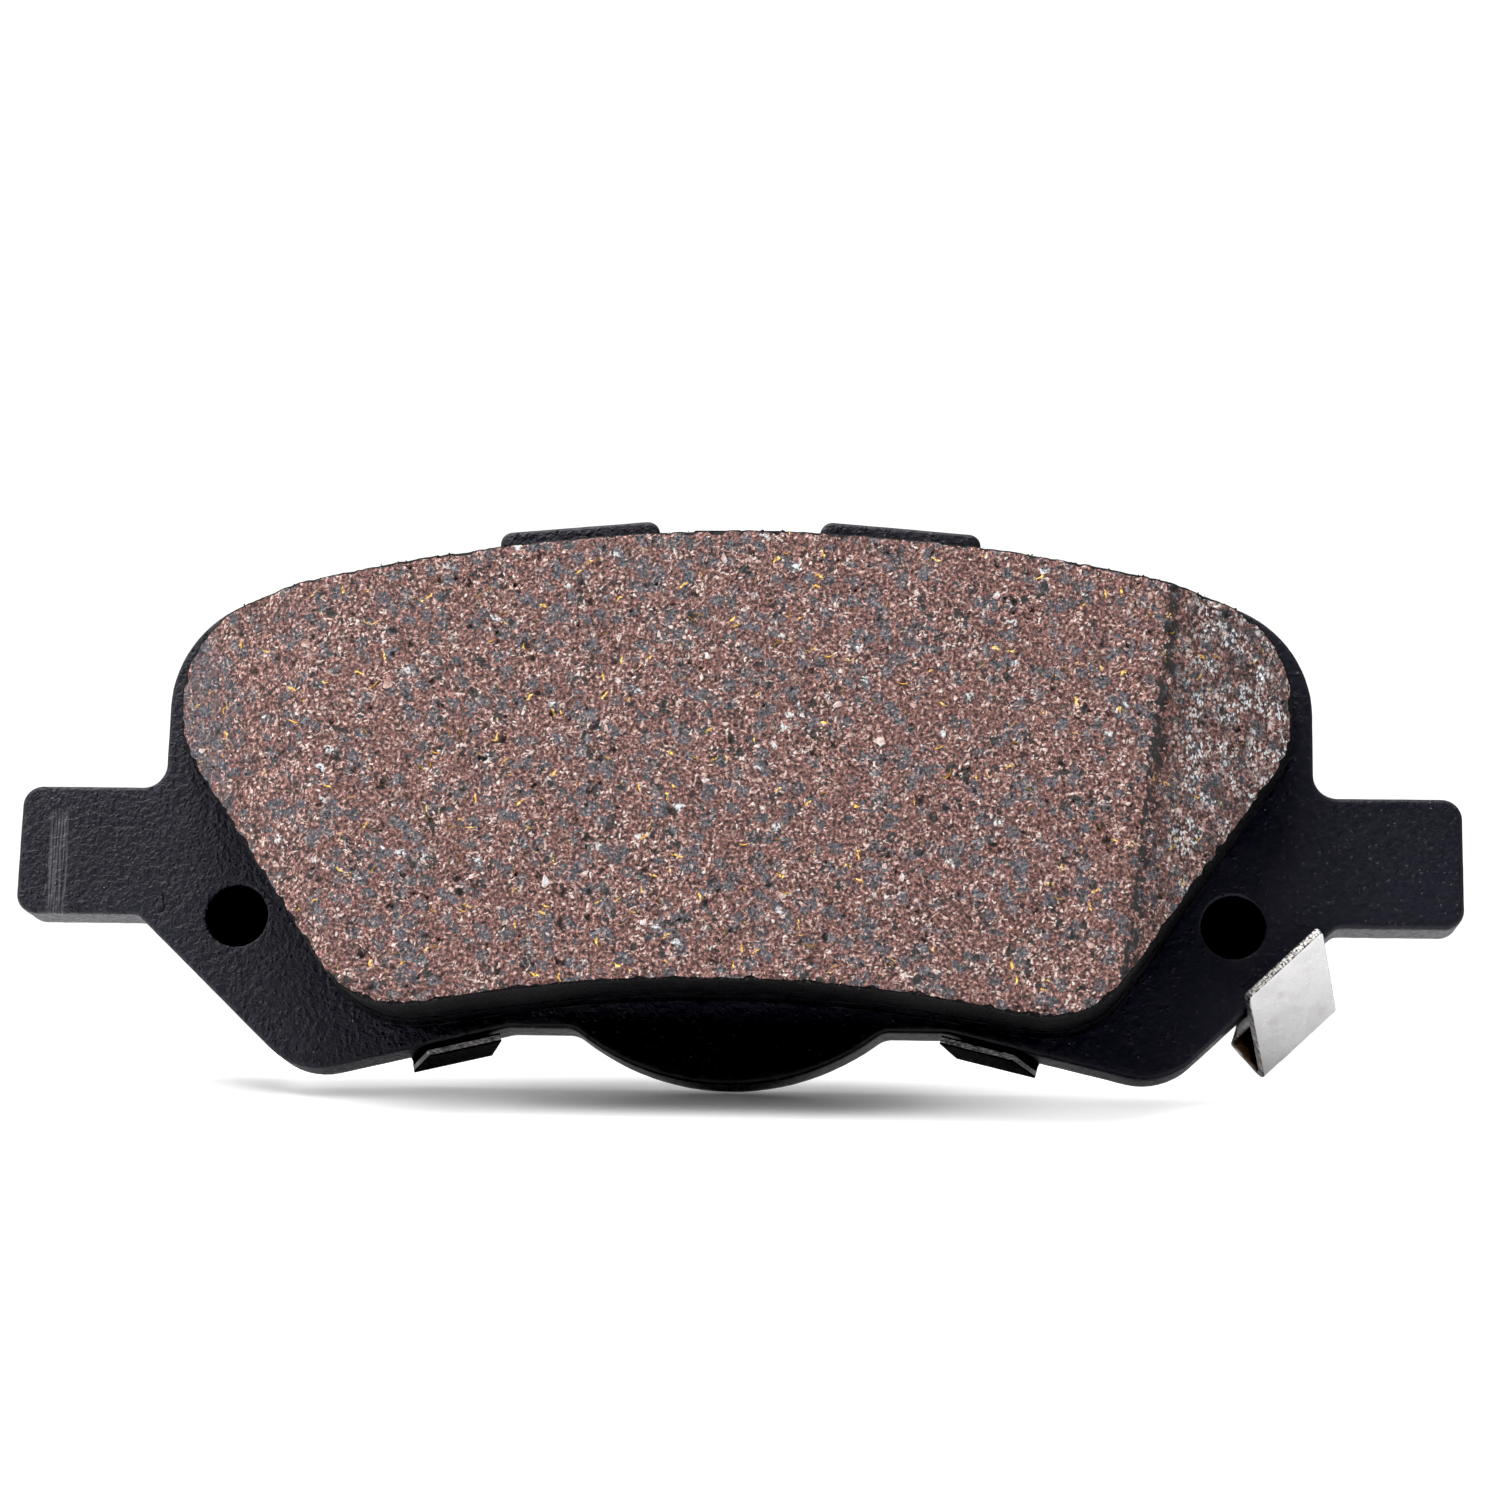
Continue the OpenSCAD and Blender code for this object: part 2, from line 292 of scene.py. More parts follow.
    def finish(self, colour, roughness, height, depth, metallic=0.0, specular=0.5):
        """The material, its surface bent by a height whose full range is depth millimetres."""
        bump = self.node("ShaderNodeBump", {"Height": height, "Distance": depth * MM})
        values = {"Base Color": colour, "Roughness": roughness, "Metallic": metallic,
                  "Specular IOR Level": specular, "Normal": bump.outputs["Normal"]}
        for name, value in values.items():
            self.feed(self.principled.inputs[name], value)
        return self.material


def plate_coating():
    """Black powder coat: orange peel, grain, dust, painted shade on the bump below the block, and marks
    on the left ear.
    """
    s = Shader("plate_coating")
    peel = s.noise(2.3, detail=2, roughness=0.55)
    pebbles = s.grains(1.9, 1, 0, 0.45, s.wobbled(3, 0.35), reach=(0.06, 0.38))
    height = s.plus(peel, s.times(s.noise(8, detail=2), 0.12))
    height = s.plus(height, s.times(pebbles, 0.6))
    tone = s.tones(s.noise(0.1, detail=3), (0.0076, 0.0076, 0.0135), (0.0114, 0.0112, 0.0188))
    dust = s.grains(1.2, 1, 0, 0.12, reach=(0.03, 0.08))
    tone = s.mix(dust, tone, (0.3, 0.29, 0.27))
    # Painted shade: the bump below the block is darkened, where the block keeps the overhead light off
    # it
    outside_bump_shade = s.most(s.step(s.axis(2), *BUMP_Z), s.step(s.size(s.axis(0)), *BUMP_HALF))
    tone = s.mix(outside_bump_shade, (0.0012, 0.0012, 0.0017), tone)

    streaks = s.noise(1.0, detail=3, place=s.stretched((7, 1, 0.16)))
    across = s.plus(s.axis(0), s.times(s.noise(0.5), 0.5))
    stripe = s.times(
        s.step(across, SCUFF_X[0], SCUFF_X[0] + 0.3),
        s.step(across, SCUFF_X[1] - 0.2, SCUFF_X[1] + 0.1, 1, 0),
        s.step(s.axis(2), SCUFF_Z[1] - 1, SCUFF_Z[1] + 0.5, 1, 0),
        s.step(streaks, 0.38, 0.62),
        s.step(s.axis(1), *FRONT_ONLY, 1, 0),
    )
    tone = s.mix(s.times(stripe, 0.8), tone, (0.10, 0.10, 0.108))
    roughness = s.step(s.noise(2.5, detail=3), 0.3, 0.7, 0.38, 0.52)
    height = s.times(height, s.step(s.axis(0), *PEEL_FADE, 1, 0.4), s.step(outside_bump_shade, 0, 1, 0.4, 1))
    height = s.plus(height, s.times(nick(s), -2.5))
    return s.finish(tone, roughness, height, 0.25, specular=0.27)


def nick(s):
    """A short curved dent at the root of the left ear: part of a ring about a point."""
    flat = s.vector("MULTIPLY", s.wobbled(0.9, 0.8), (1, 0, 1))
    apart = s.vector("SUBTRACT", flat, NICK_CENTRE)
    length = s.node("ShaderNodeVectorMath", {0: apart}, operation="LENGTH")
    return s.times(
        s.step(s.size(s.math("SUBTRACT", length.outputs["Value"], NICK_R)), 0.02, 0.13, 1, 0),
        s.step(s.axis(0, apart), 0.1, 0.5),
        s.step(s.size(s.axis(2, apart)), 0.8, 1.1, 1, 0),
        s.step(s.axis(1), *FRONT_ONLY, 1, 0),
    )


def hole_painted_shade():
    """Painted shade in the blind holes: a near-black colour for where no light gets to."""
    s = Shader("hole_painted_shade")
    tone = s.tones(s.noise(2, detail=3), (0.0006, 0.0006, 0.0007), (0.0014, 0.0014, 0.0016))
    rough = s.step(s.noise(3), 0.3, 0.7, 0.75, 0.9)
    return s.finish(tone, rough, s.noise(5), 0.02, specular=0.08)


def friction_face():
    """Pressed compound: brown resin, graphite flakes, copper and mineral grains, brass shavings, with
    painted shade in its pits.
    """
    s = Shader("friction")
    place = s.wobbled(2.2, 0.5)
    past = s.attribute("past")
    on_right = s.step(past, 0.1, 0.8)
    on_left = s.step(past, -0.8, -0.1, 1, 0)

    fine = s.noise(3.3, detail=2, roughness=0.6)
    colour = s.ramp(
        fine, (0.30, (0.003, 0.002, 0.002)), (0.40, (0.036, 0.012, 0.010)),
        (0.50, (0.165, 0.060, 0.050)), (0.60, (0.34, 0.160, 0.135)), (0.70, (0.85, 0.60, 0.53)),
    )
    deep = s.grains(1.6, 1.5, 40, 0.30, place, reach=(0.25, 0.6))
    colour = s.mix(s.times(deep, 0.55), colour, (0.085, 0.024, 0.018))

    ragged = s.wobbled(4.5, 0.45, place=s.wobbled(1.6, 1.3))
    flakes, shade = s.tinted_grains(0.74, 1.3, 25, 0.62, ragged, reach=(0.43, 0.51))
    slate = s.ramp(
        s.noise(4.2, detail=2, roughness=0.6), (0.32, (0.014, 0.017, 0.024)),
        (0.5, (0.062, 0.070, 0.092)), (0.68, (0.24, 0.26, 0.30)),
    )
    slate = s.mix(s.times(shade, 0.5), slate, (0.035, 0.038, 0.046))
    flakes = s.times(flakes, s.step(fine, 0.57, 0.63, 1, 0.1))
    colour = s.mix(s.times(flakes, 0.9), colour, slate)

    dark = s.grains(2.7, 1.7, 70, 0.22, place)
    colour = s.mix(s.times(dark, 0.85), colour, (0.006, 0.005, 0.006))
    clusters = s.step(s.noise(0.7, detail=2), 0.40, 0.58, 0.12, 1)
    clusters = s.times(clusters, s.step(flakes, 0.2, 0.8, 1, 0.3))
    chips = []
    for turn, scale in ((10, 2.1), (55, 2.8), (100, 1.9), (150, 2.4)):
        chip, tint = s.tinted_grains(scale, 2.2, turn, 0.2, place)
        chips.append(s.times(chip, clusters))
        pink = s.ramp(tint, (0.0, (0.34, 0.13, 0.10)), (0.5, (0.74, 0.45, 0.38)),
                      (1.0, (1.0, 0.90, 0.84)))
        colour = s.mix(chips[-1], colour, pink)

    white, kind = s.tinted_grains(0.5, 1.5, 30, 0.17, ragged, reach=(0.12, 0.26))
    pale = s.ramp(kind, (0.0, (0.86, 0.62, 0.52)), (0.55, (0.95, 0.80, 0.70)),
                  (0.8, (0.82, 0.84, 0.86)))
    colour = s.mix(s.times(white, s.step(fine, 0.38, 0.5)), colour, pale)
    gold = s.most(*[s.grains(0.8, 4.5, turn, 0.009, place, reach=(0.25, 0.42))
                    for turn in (20, 80, 140)])
    gold = s.times(gold, s.step(s.noise(7), 0.35, 0.5))
    colour = s.mix(gold, colour, (0.95, 0.60, 0.14))

    torn = s.stretched((2.2, 2.2, 0.5), place=s.wobbled(0.6, 0.8))
    ground = s.noise(1.0, detail=4, roughness=0.65, place=torn)
    weight = s.plus(s.times(on_right, 0.65), s.times(on_left, 0.4))
    dark_streaks = s.times(weight, s.step(ground, 0.38, 0.52, 1, 0))
    wander = s.plus(past, s.times(s.noise(0.7, detail=3), 1.4))
    band = s.times(
        s.step(wander, 0.75, 1.0),
        s.step(wander, 1.5, 2.5, 1, 0),
        s.step(s.noise(1.3, detail=3), 0.38, 0.60, 0.95, 0.2),
    )
    grit = s.times(s.noise(3.5, detail=2), 0.8)
    band = s.step(s.plus(band, grit), 0.72, 1.0, 0, 0.97)
    colour = s.mix(s.most(dark_streaks, band), colour, (0.012, 0.010, 0.011))
    smear = s.times(
        s.step(past, -9.5, -7, 1, 0),
        s.step(s.noise(1.6, detail=3), 0.35, 0.6),
        0.75,
    )
    colour = s.mix(smear, colour, slate)
    glint = s.times(
        s.most(*[s.grains(2.3, 2.0, turn, 0.45, place) for turn in (75, 105)]),
        s.step(s.noise(0.5, detail=3), 0.45, 0.58, 0.06, 1),
        s.step(past, 1.2, 4, 0, 1),
    )
    colour = s.mix(glint, colour, (0.88, 0.90, 0.92))

    # Painted shade: the colour darkens where the surface lies deeper, in the pits and grinding hollows
    hollow = s.step(s.attribute("hollow"), 0.03, 0.2)
    colour = s.mix(s.times(hollow, 0.85), colour, (0.010, 0.008, 0.008))
    metal = s.most(gold, s.times(glint, 0.7))
    roughness = s.step(metal, 0, 1, 0.55, 0.34)
    height = s.plus(fine, s.times(s.most(*chips), 0.35))
    height = s.math("SUBTRACT", height, s.times(dark, 0.5))
    bevel = s.plus(on_right, on_left)
    height = s.plus(height, s.times(ground, s.times(bevel, 0.9)))
    return s.finish(colour, roughness, height, 0.35, metallic=metal)


def mineral():
    """Pale mineral and copper chips, each with its own tint."""
    s = Shader("mineral")
    tone = s.ramp(s.noise(0.9, detail=1), (0.3, (0.42, 0.2, 0.16)), (0.5, (0.8, 0.6, 0.53)),
                  (0.7, (0.85, 0.86, 0.88)))
    speckle = s.step(s.noise(6, detail=2), 0.35, 0.5, 0.45, 0)
    tone = s.mix(speckle, tone, (0.12, 0.08, 0.075))
    rough = s.step(s.noise(4), 0.3, 0.7, 0.3, 0.55)
    return s.finish(tone, rough, s.noise(5, detail=3), 0.15)


def friction_wall():
    """The block's side: satin paint over pressed compound, worn through in spots near the face."""
    s = Shader("friction_wall")
    fine = s.noise(4.5, detail=4, roughness=0.6)
    tone = s.tones(s.noise(0.6, detail=3), (0.0025, 0.0025, 0.003), (0.0065, 0.0062, 0.0075))
    worn = s.times(s.step(fine, 0.56, 0.64), s.step(s.axis(1), *WEAR_FADE, 0.7, 0.05))
    tone = s.mix(worn, tone, (0.10, 0.085, 0.085))
    rough = s.step(fine, 0.3, 0.7, 0.6, 0.85)
    return s.finish(tone, rough, fine, 0.12, specular=0.15)


def underlayer_coat():
    """The darker layer under the block, painted together with the plate."""
    s = Shader("underlayer")
    fine = s.noise(3.6, detail=4, roughness=0.6)
    tone = s.tones(s.noise(0.5, detail=3), (0.002, 0.002, 0.0025), (0.005, 0.0048, 0.0058))
    bare = s.grains(1.8, 1.4, 20, 0.12, s.wobbled(3, 0.3), reach=(0.15, 0.35))
    bare = s.times(bare, s.step(s.axis(1), *FLASH_FADE, 0, 0.8))
    tone = s.mix(bare, tone, (0.06, 0.022, 0.018))
    rough = s.step(fine, 0.3, 0.7, 0.55, 0.8)
    return s.finish(tone, rough, fine, 0.1, specular=0.15)


def indicator_steel():
    """Nickel-plated spring steel: soft clouds, fine scratches across the strip, a few stains, and
    painted shade inside the fold.
    """
    s = Shader("indicator_steel")
    clouds = s.noise(0.35, detail=4, roughness=0.6)
    scratches = s.noise(1.0, detail=3, place=s.stretched((9, 9, 0.5), turn=STRIP_TURN))
    tone = s.tones(clouds, (0.64, 0.63, 0.63), (0.76, 0.75, 0.745))
    tone = s.mix(s.step(scratches, 0.6, 0.72, 0, 0.35), tone, (0.42, 0.40, 0.385))
    stain = s.grains(0.5, 1.4, 10, 0.3, s.wobbled(1.2, 0.8), reach=(0.1, 0.45))
    tone = s.mix(s.times(stain, 0.25), tone, (0.40, 0.34, 0.28))
    # Painted shade: dark brown on the strip's face inside the fold, where the flap keeps the light off
    tone = s.mix(s.attribute("inner"), tone, (0.10, 0.068, 0.045))
    rough = s.step(clouds, 0.3, 0.7, 0.22, 0.32)
    height = s.plus(scratches, s.times(s.noise(6), 0.3))
    return s.finish(tone, rough, height, 0.012, metallic=1.0)


def sheared_edge():
    """The strip's cut edge: half burnished, half torn, with grooves along the cut."""
    s = Shader("sheared_edge")
    cut = s.stretched((6, 6, 0.7), turn=STRIP_TURN)
    grooves = s.noise(1.0, detail=4, roughness=0.65, place=cut)
    pits = s.noise(3.2, detail=3, roughness=0.6)
    tone = s.ramp(grooves, (0.38, (0.012, 0.011, 0.010)), (0.47, (0.20, 0.19, 0.18)),
                  (0.6, (0.75, 0.73, 0.71)))
    tone = s.mix(s.step(pits, 0.58, 0.68, 0, 0.7), tone, (0.05, 0.045, 0.042))
    rough = s.step(pits, 0.3, 0.7, 0.3, 0.5)
    return s.finish(tone, rough, grooves, 0.05, metallic=1.0)


def shim_rubber():
    """Rubber coat of the shim: fine leathery grain, faint smears, dust, and matt clips at the front
    darkened with painted shade.
    """
    s = Shader("shim_rubber")
    grain = s.plus(s.noise(5, detail=3), s.times(s.cells(3.2)["Distance"], 0.6))
    smears = s.noise(0.35, detail=4, place=s.stretched((1, 1, 0.35), turn=65))
    tone = s.tones(smears, (0.0035, 0.0035, 0.004), (0.011, 0.011, 0.0115), 0.35, 0.65)
    dust = s.grains(0.9, 1, 0, 0.15, reach=(0.03, 0.08))
    tone = s.mix(dust, tone, (0.12, 0.115, 0.11))
    # Painted shade: the clips at the front are made near-black, darker than the same rubber behind
    tone = s.mix(s.step(s.axis(1), *CLIP_FADE), (0.001, 0.001, 0.001), tone)
    rough = s.step(smears, 0.35, 0.65, 0.36, 0.52)
    rough = s.most(rough, s.step(s.axis(1), *CLIP_FADE, 1, 0))
    return s.finish(tone, rough, grain, 0.05, specular=0.22)


def shim_steel():
    """Rolled steel core of the shim, showing as a thin cut edge, with rust and bright burrs that are
    partly a painted highlight.
    """
    s = Shader("shim_steel")
    rolled = s.noise(1.0, detail=3, place=s.stretched((1.2, 9, 1.2)))
    rust = s.noise(0.8, detail=4, roughness=0.6)
    tone = s.tones(rolled, (0.13, 0.13, 0.135), (0.30, 0.30, 0.305), 0.35, 0.65)
    tone = s.mix(s.step(rust, 0.55, 0.7, 0, 0.6), tone, (0.10, 0.045, 0.02))
    # Bare steel burrs at the clip tips: their light, less metallic colour is partly a painted highlight
    burr = s.step(s.noise(2.2, detail=3, place=s.stretched((1, 1, 4))), 0.46, 0.6)
    burr = s.times(burr, s.step(s.axis(1), *CLIP_TIP_FADE, 1, 0))
    tone = s.mix(burr, tone, (0.50, 0.49, 0.48))
    rough = s.step(rust, 0.35, 0.65, 0.35, 0.55)
    metal = s.step(burr, 0, 1, 1, 0.3)
    return s.finish(tone, rough, rolled, 0.02, metallic=metal)


def plain(name, colour, roughness, metallic=0.0):
    """A quiet material with a little grain."""
    s = Shader(name)
    dark, light = ([min(c * share, 1) for c in colour] for share in (0.85, 1.15))
    tone = s.mix(s.noise(0.8, detail=3), dark, light)
    rough = s.step(s.noise(3, detail=3), 0.3, 0.7, roughness - 0.05, roughness + 0.05)
    return s.finish(tone, rough, s.noise(6), 0.02, metallic=metallic)


# ---------------------------- outlines

def welded(node):
    """A bmesh copy of a CAD node in millimetres, with its split points joined."""
    bm = bmesh.new()
    bm.from_mesh(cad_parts[node].data)
    bmesh.ops.scale(bm, vec=(1 / MM, 1 / MM, 1 / MM), verts=bm.verts)
    bmesh.ops.remove_doubles(bm, verts=bm.verts, dist=0.001)
    return bm


def flat_loops(node, y):
    """Outlines (X, Z) of the node's flat face at that Y, counterclockwise, the longest first."""
    bm = welded(node)
    flat = {f for f in bm.faces if all(abs(v.co.y - y) < 0.005 for v in f.verts)}
    edges = [e for e in bm.edges if sum(f in flat for f in e.link_faces) == 1]
    beside = {}
    for edge in edges:
        for a, b in (edge.verts, reversed(edge.verts)):
            beside.setdefault(a, []).append(b)
    loops = []
    while beside:
        start = next(iter(beside))
        loop = [start]
        while True:
            here = loop[-1]
            onward = [v for v in beside.pop(here) if v in beside]
            if not onward:
                break
            loop.append(onward[0])
        points = np.array([(v.co.x, v.co.z) for v in loop])
        loops.append(points if area_of(points) > 0 else points[::-1])
    bm.free()
    return sorted(loops, key=lambda points: -abs(area_of(points)))


def area_of(loop):
    ahead = np.roll(loop, -1, 0)
    return 0.5 * np.sum(loop[:, 0] * ahead[:, 1] - loop[:, 1] * ahead[:, 0])


def spaced(loop, step):
    """The loop with its sides split, so that none is longer than step."""
    points = []
    for a, b in zip(loop, np.roll(loop, -1, 0)):
        count = max(1, math.ceil(np.linalg.norm(b - a) / step))
        points += [a + (b - a) * i / count for i in range(count)]
    return np.array(points)


def outward(loop):
    """The way out of the loop at each of its points, with a length that keeps offsets parallel."""
    side = np.roll(loop, -1, 0) - loop
    side /= np.linalg.norm(side, axis=1)[:, None]
    normal = np.stack([side[:, 1], -side[:, 0]], 1)
    mean = normal + np.roll(normal, 1, 0)
    mean /= np.linalg.norm(mean, axis=1)[:, None]
    return mean / np.clip(np.sum(mean * normal, axis=1), 0.5, 1)[:, None]


def circle(x, z, radius, count):
    angles = np.arange(count) * 2 * math.pi / count
    return np.stack([x + radius * np.cos(angles), z + radius * np.sin(angles)], 1)


def inside(loop, points):
    """True for each point that lies in the loop."""
    result = np.zeros(len(points), bool)
    for a, b in zip(loop, np.roll(loop, -1, 0)):
        if a[1] == b[1]:
            continue
        between = (a[1] > points[:, 1]) != (b[1] > points[:, 1])
        cross_x = a[0] + (points[:, 1] - a[1]) / (b[1] - a[1]) * (b[0] - a[0])
        result ^= between & (points[:, 0] < cross_x)
    return result


def scattered(loop, step, clear):
    """Points in rows that fill the loop, staying clear of it."""
    low, high = loop.min(0), loop.max(0)
    rows = np.arange(low[1], high[1], step * math.sqrt(3) / 2)
    points = []
    for i, z in enumerate(rows):
        x = np.arange(low[0] + (i % 2) * step / 2, high[0], step)
        points.append(np.stack([x, np.full(len(x), z)], 1))
    points = np.concatenate(points)
    return points[inside(loop - outward(loop) * clear, points)]


def smooth_noise(seed):
    """A function of X, Z and a size in millimetres, giving smooth values from -1 to 1."""
    cells = 128
    table = np.random.default_rng(seed).uniform(-1, 1, (cells, cells))

    def value(x, z, size):
        u, v = np.asarray(x) / size, np.asarray(z) / size
        i, j = np.floor(u).astype(int), np.floor(v).astype(int)
        a, b = u - i, v - j
        a, b = a * a * (3 - 2 * a), b * b * (3 - 2 * b)
        i, j = i % cells, j % cells
        k, m = (i + 1) % cells, (j + 1) % cells
        near = table[i, j] * (1 - a) + table[k, j] * a
        far = table[i, m] * (1 - a) + table[k, m] * a
        return near * (1 - b) + far * b

    return value


# ---------------------------- meshes

class Build:
    """Collects points (X, Y, Z in millimetres) and faces, and makes them into one object."""

    def __init__(self, name):
        self.name = name
        self.points = []
        self.faces = []
        self.slots = []
        self.count = 0

    def add(self, points):
        """Adds points and returns their numbers."""
        self.points.append(np.asarray(points, float))
        numbers = np.arange(self.count, self.count + len(points))
        self.count += len(points)
        return numbers

    def ring(self, loop, y):
        y = np.broadcast_to(y, len(loop))
        return self.add(np.stack([loop[:, 0], y, loop[:, 1]], 1))

    def inset(self, rim, way, amount, y):
        """A ring inside the rim by an amount, which may differ from point to point."""
        return self.ring(rim - way * np.reshape(amount, (-1, 1)), y)

    def face(self, numbers, slot=0):
        self.faces.append([int(n) for n in numbers])
        self.slots.append(slot)

    def bridge(self, a, b, slot=0):
        """Four-sided faces between two rings with as many points each."""
        for i in range(len(a)):
            j = (i + 1) % len(a)
            self.face((a[i], a[j], b[j], b[i]), slot)

    def chain(self, rings, slot=0):
        """Bridges from each ring to the next."""
        for a, b in zip(rings, rings[1:]):
            self.bridge(a, b, slot)

    def closed(self, rings):
        """Bridges from each ring to the next, and a face on both ends."""
        self.chain(rings)
        self.face(rings[0])
        self.face(rings[-1][::-1])

    def fill(self, rings, extra=None, slot=0):
        """Triangles inside the first ring, past the holes that the others make.
        extra are numbers of points added beforehand that lie inside."""
        numbers = np.concatenate([*rings] + ([extra] if extra is not None else []))
        placed = np.concatenate(self.points)[numbers][:, [0, 2]]
        edges, at = [], 0
        for ring in rings:
            edges += [(at + i, at + (i + 1) % len(ring)) for i in range(len(ring))]
            at += len(ring)
        found = delaunay_2d_cdt([Vector(p) for p in placed], edges, [], 1, 1e-6, True)
        origin = np.array([group[0] for group in found[3]])
        triangles = origin[np.array(found[2])]
        middle = placed[triangles].mean(1)
        at = len(rings[0])
        keep = inside(placed[:at], middle)
        for ring in rings[1:]:
            keep &= ~inside(placed[at:at + len(ring)], middle)
            at += len(ring)
        a, b, c = (placed[triangles[:, i]] for i in range(3))
        wide = np.abs((b - a)[:, 0] * (c - a)[:, 1] - (b - a)[:, 1] * (c - a)[:, 0]) > 1e-9
        for triangle in numbers[triangles[keep & wide]]:
            self.face(triangle, slot)

    def finish(self, materials, place=None, sharp=40, **values):
        """The object. place maps the points; values are named numbers for each point."""
        points = np.concatenate(self.points)
        points = place(points) if place else points
        mesh = bpy.data.meshes.new(self.name)
        mesh.from_pydata((points * MM).tolist(), [], self.faces)
        mesh.validate()
        mesh.polygons.foreach_set("material_index", self.slots)
        for name, numbers in values.items():
            layer = mesh.attributes.new(name, "FLOAT", "POINT")
            layer.data.foreach_set("value", np.asarray(numbers, np.float32))
        bm = bmesh.new()
        bm.from_mesh(mesh)
        bmesh.ops.recalc_face_normals(bm, faces=bm.faces)
        bm.to_mesh(mesh)
        bm.free()
        mesh.shade_smooth()
        mesh.set_sharp_from_angle(angle=math.radians(sharp))
        for material in materials:
            mesh.materials.append(material)
        made = linked(self.name, mesh)
        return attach(made, "root")


# ---------------------------- friction block

def face_planes():
    """The block's face and its end chamfers, each as Y = a + b X + c Z."""
    bm = welded("friction_block")
    planes = set()
    for face in bm.faces:
        n, p = face.normal, face.verts[0].co
        if n.y < -0.5:
            planes.add(tuple(round(k, 4) for k in (n.dot(p) / n.y, -n.x / n.y, -n.z / n.y)))
    bm.free()
    return sorted(planes)


class FrictionFace:
    """The shape of the ground face: its planes, grinding streaks, grain and pits."""

    def __init__(self, outline):
        self.planes = face_planes()
        self.flat_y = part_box("friction_block")[0].y / MM
        low, high = outline.min(0), outline.max(0)
        self.coarse, self.fine, self.long = (smooth_noise(seed) for seed in (11, 12, 13))
        pit_count = int(np.prod(high - low) * PITS)
        self.pits = rng.uniform(low, high, (pit_count, 2))
        self.pit_r = 0.12 + 0.38 * rng.random(len(self.pits)) ** 3
        self.pit_depth = rng.uniform(0.06, 0.3, len(self.pits))
        self.tree = KDTree(len(self.pits))
        for i, (x, z) in enumerate(self.pits):
            self.tree.insert((x, z, 0), i)
        self.tree.balance()

    def plane_y(self, x, z):
        return np.max([a + b * x + c * z for a, b, c in self.planes], axis=0)

    def chamfered(self, x, z):
        """From 0 on the face to 1 a little way down a chamfer."""
        return np.clip((self.plane_y(x, z) - self.flat_y) / 0.4, 0, 1)

    def past(self, x, z):
        """How far beyond the start of a chamfer, negative on the left one, in millimetres."""
        slope = max(math.hypot(b, c) for _, b, c in self.planes)
        return np.sign(x) * (self.plane_y(x, z) - self.flat_y) / slope

    def hollow(self, x, z):
        """How deep the surface lies under the smooth face, in millimetres."""
        rough = 1 + 1.3 * self.chamfered(x, z)
        streaks = 0.018 * self.long(x, z * 0.05, 0.3) + 0.016 * self.long(x, z * 0.08 + 40, 0.9)
        grain = 0.02 * self.fine(x, z, 0.42) + 0.025 * self.coarse(x, z, 1.3)
        found = [self.tree.find((u, v, 0))[1:] for u, v in zip(x, z)]
        near = np.array([index for index, _ in found])
        distance = np.array([gap for _, gap in found])
        edge = self.pit_r[near] * (1 + 0.4 * self.fine(x, z, 0.2))
        pits = self.pit_depth[near] * np.clip(1.3 * (1 - distance / edge), 0, 1)
        return FACE_SKIN + np.clip(rough * (streaks + grain), -FACE_SKIN * 0.8, 1) + pits


def build_friction_block(face, outline):
    """The pressed block: ground face, crumbled rim and painted walls."""
    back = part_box("friction_block")[1].y / MM
    rim = spaced(outline, FACE_STEP)
    way = outward(rim)
    x, z = rim.T
    crumble = np.clip(0.5 + 0.5 * face.coarse(x, z, 0.8) + 0.35 * face.fine(x, z, 0.33), 0, 1)
    break_in = 0.13 + 0.3 * crumble ** 2
    break_down = 0.08 + 0.4 * crumble ** 2
    build = Build("friction_block_pressed")

    inner = rim - way * break_in[:, None]
    edge = build.ring(inner, face.plane_y(*inner.T) + FACE_SKIN + 0.15 * break_down)
    field = scattered(outline, FACE_STEP, 0.42)
    field += rng.uniform(-0.06, 0.06, field.shape)
    hollow = face.hollow(*field.T)
    extra = build.add(np.stack([field[:, 0], face.plane_y(*field.T) + hollow, field[:, 1]], 1))
    build.fill([edge], extra)

    rim_y = face.plane_y(*rim.T) + FACE_SKIN + break_down
    wall = [edge]
    for share in np.linspace(0, 1, WALL_RINGS):
        y = rim_y + (back - rim_y) * share
        bulge = 0.03 + 0.03 * face.fine(x * 1.3 + y * 0.9, z * 1.3 + y * 2.1, 0.6)
        bulge += 0.03 * face.coarse(x + y * 0.3, z + y * 2, 1.9)
        wall.append(build.inset(rim, way, np.clip(bulge, 0, 1), y))
    build.chain(wall, 1)
    build.fill([wall[-1]], slot=1)
    # The depth also drives the painted shade in the face's pits
    depth = np.zeros(build.count)
    depth[extra] = hollow - FACE_SKIN
    x, _, z = np.concatenate(build.points).T
    piece = build.finish([friction_face(), friction_wall()], hollow=depth, past=face.past(x, z))
    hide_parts("friction_block")


def stand_on_face(face, x, z):
    """The place on the face at X, Z, and axes across, along and out of it."""
    step = 0.01
    y = face.plane_y(x, z)
    across = Vector((step, face.plane_y(x + step, z) - y, 0)).normalized()
    along = Vector((0, face.plane_y(x, z + step) - y, step)).normalized()
    return Vector((x, y + FACE_SKIN, z)), across, along, across.cross(along)


def random_spots(outline, count, clear):
    """Places spread at random inside the outline, clear of its edge."""
    low, high = outline.min(0), outline.max(0)
    spots = rng.uniform(low, high, (3 * count, 2))
    return spots[inside(outline - outward(outline) * clear, spots)][:count]


